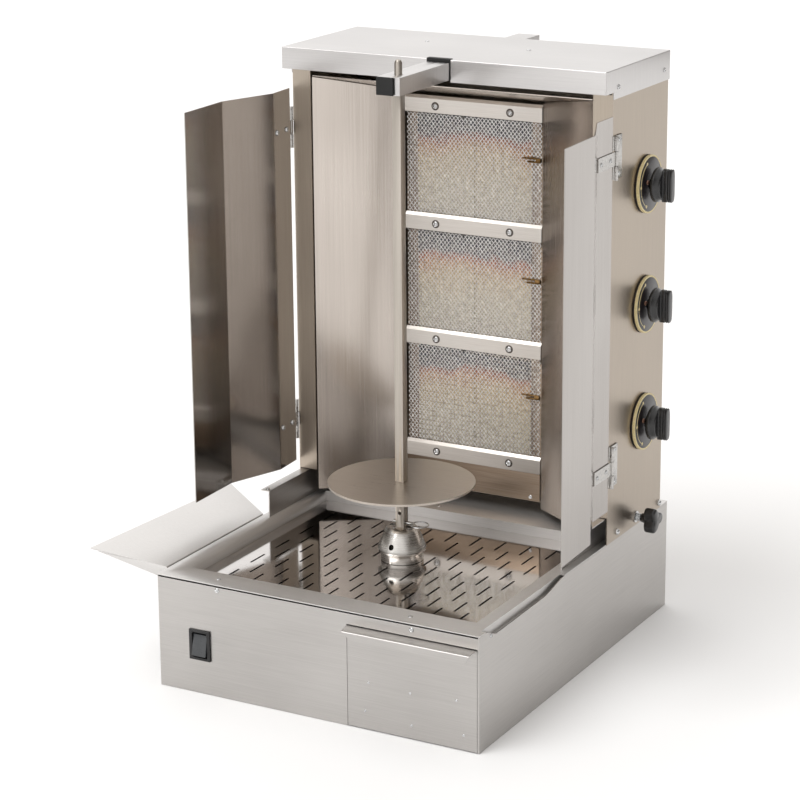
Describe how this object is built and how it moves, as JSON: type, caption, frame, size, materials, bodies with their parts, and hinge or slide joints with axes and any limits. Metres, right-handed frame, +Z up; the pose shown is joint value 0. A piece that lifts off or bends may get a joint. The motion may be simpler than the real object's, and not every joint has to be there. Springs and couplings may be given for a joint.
{
  "type": "rotisserie oven",
  "caption": "Vertical gyros grill: drip base with drawer, spinning spit with disc, sliding column of gas burners under a hood, two folding wind doors.",
  "frame": {"origin": "centre of the base's underside, on the surface that it stands on", "axes": "+Z up along the spit, front towards -Y, gas knobs on +X"},
  "size_m": [0.6685, 0.68, 0.876],
  "materials": {
    "brushed_sheet": "brushed stainless sheet",
    "polished_sheet": "mirror polished stainless sheet",
    "heat_tinted_steel": "heat tinted stainless",
    "mesh_steel": "expanded metal",
    "burner_ceramic": "pierced ceramic plate, scorched",
    "black_plastic": "moulded",
    "grey_plastic": "moulded",
    "rubber": "edge trim",
    "chrome": "polished",
    "brass": "machined",
    "cast_housing": "painted casting"
  },
  "bodies": {
    "base": {"base_shell": "brushed_sheet", "base_floor": "brushed_sheet", "top_frame": "brushed_sheet", "slotted_plate": "polished_sheet", "motor_gearbox": "cast_housing", "cable_gland": "black_plastic", "switch_bezel": "black_plastic"},
    "switch": {"switch_rocker": "grey_plastic"},
    "drawer": {"drawer_front": "brushed_sheet", "drawer_box": "brushed_sheet"},
    "scoop": {"meat_scoop": "brushed_sheet"},
    "column": {"column_side_right": "brushed_sheet", "column_side_left": "brushed_sheet", "column_back": "brushed_sheet", "column_floor": "brushed_sheet", "burner_apron": "brushed_sheet", "column_foot_right": "brushed_sheet", "column_foot_left": "brushed_sheet", "reflector_right": "polished_sheet", "reflector_left": "polished_sheet", "ceiling_deflector": "brushed_sheet", "hood": "brushed_sheet", "slot_trim": "rubber", "burner_casing_1": "heat_tinted_steel", "burner_casing_2": "heat_tinted_steel", "burner_casing_3": "heat_tinted_steel", "burner_ceramic_1": "burner_ceramic", "burner_ceramic_2": "burner_ceramic", "burner_ceramic_3": "burner_ceramic", "burner_mesh_1": "mesh_steel", "burner_mesh_2": "mesh_steel", "burner_mesh_3": "mesh_steel", "burner_bar_1": "brushed_sheet", "burner_bar_2": "brushed_sheet", "burner_bar_3": "brushed_sheet", "burner_bar_4": "brushed_sheet", "gas_manifold": "brass", "gas_valve_1": "brass", "gas_valve_2": "brass", "gas_valve_3": "brass", "dial_plate_1": "black_plastic", "dial_plate_2": "black_plastic", "dial_plate_3": "black_plastic", "hinge_right_upper": "brushed_sheet", "hinge_right_lower": "brushed_sheet", "hinge_left_upper": "brushed_sheet", "hinge_left_lower": "brushed_sheet"},
    "knob_top": {"gas_knob_1": "black_plastic"},
    "knob_middle": {"gas_knob_2": "black_plastic"},
    "knob_bottom": {"gas_knob_3": "black_plastic"},
    "lock": {"lock_knob": "black_plastic"},
    "door_right": {"door_right": "polished_sheet"},
    "door_left": {"door_left": "polished_sheet"},
    "arm": {"top_arm": "brushed_sheet", "arm_end_cap": "black_plastic"},
    "spit": {"spit_bar": "brushed_sheet", "meat_disc": "brushed_sheet", "drive_hub": "chrome"},
    "pin": {"lock_pin": "chrome"}
  },
  "joints": [
    {"name": "switch_rock", "type": "hinge", "parent": "base", "child": "switch", "pos_m": [-0.185, -0.3086, 0.0725], "axis": [1, 0, 0], "range_deg": [0, 24]},
    {"name": "drawer_slide", "type": "slide", "parent": "base", "child": "drawer", "axis": [0, -1, 0], "range_m": [0, 0.26]},
    {"name": "scoop_lift", "type": "slide", "parent": "base", "child": "scoop", "axis": [0, 0, 1], "range_m": [0, 0.03]},
    {"name": "column_slide", "type": "slide", "parent": "base", "child": "column", "axis": [0, 1, 0], "range_m": [-0.03, 0.035]},
    {"name": "door_right_swing", "type": "hinge", "parent": "column", "child": "door_right", "pos_m": [0.2625, 0.086, 0.5], "axis": [0, 0, 1], "range_deg": [-40, 100]},
    {"name": "door_left_swing", "type": "hinge", "parent": "column", "child": "door_left", "pos_m": [-0.2625, 0.086, 0.5], "axis": [0, 0, 1], "range_deg": [-104, 36]},
    {"name": "knob_top_turn", "type": "hinge", "parent": "column", "child": "knob_top", "pos_m": [0.27, 0.204, 0.677], "axis": [1, 0, 0], "range_deg": [0, 180]},
    {"name": "knob_middle_turn", "type": "hinge", "parent": "column", "child": "knob_middle", "pos_m": [0.27, 0.204, 0.5], "axis": [1, 0, 0], "range_deg": [0, 180]},
    {"name": "knob_bottom_turn", "type": "hinge", "parent": "column", "child": "knob_bottom", "pos_m": [0.27, 0.204, 0.323], "axis": [1, 0, 0], "range_deg": [0, 180]},
    {"name": "lock_turn", "type": "hinge", "parent": "column", "child": "lock", "pos_m": [0.27, 0.185, 0.181], "axis": [1, 0, 0], "continuous": true},
    {"name": "arm_slide", "type": "slide", "parent": "column", "child": "arm", "axis": [0, 1, 0], "range_m": [-0.035, 0.03]},
    {"name": "spit_spin", "type": "hinge", "parent": "base", "child": "spit", "pos_m": [0, -0.06, 0.1515], "axis": [0, 0, 1], "continuous": true},
    {"name": "pin_pull", "type": "slide", "parent": "spit", "child": "pin", "axis": [1, 0, 0], "range_m": [0, 0.03]}
  ],
  "couplings": [
    {"joint": "arm_slide", "follows": "column_slide", "ratio": -1}
  ]
}
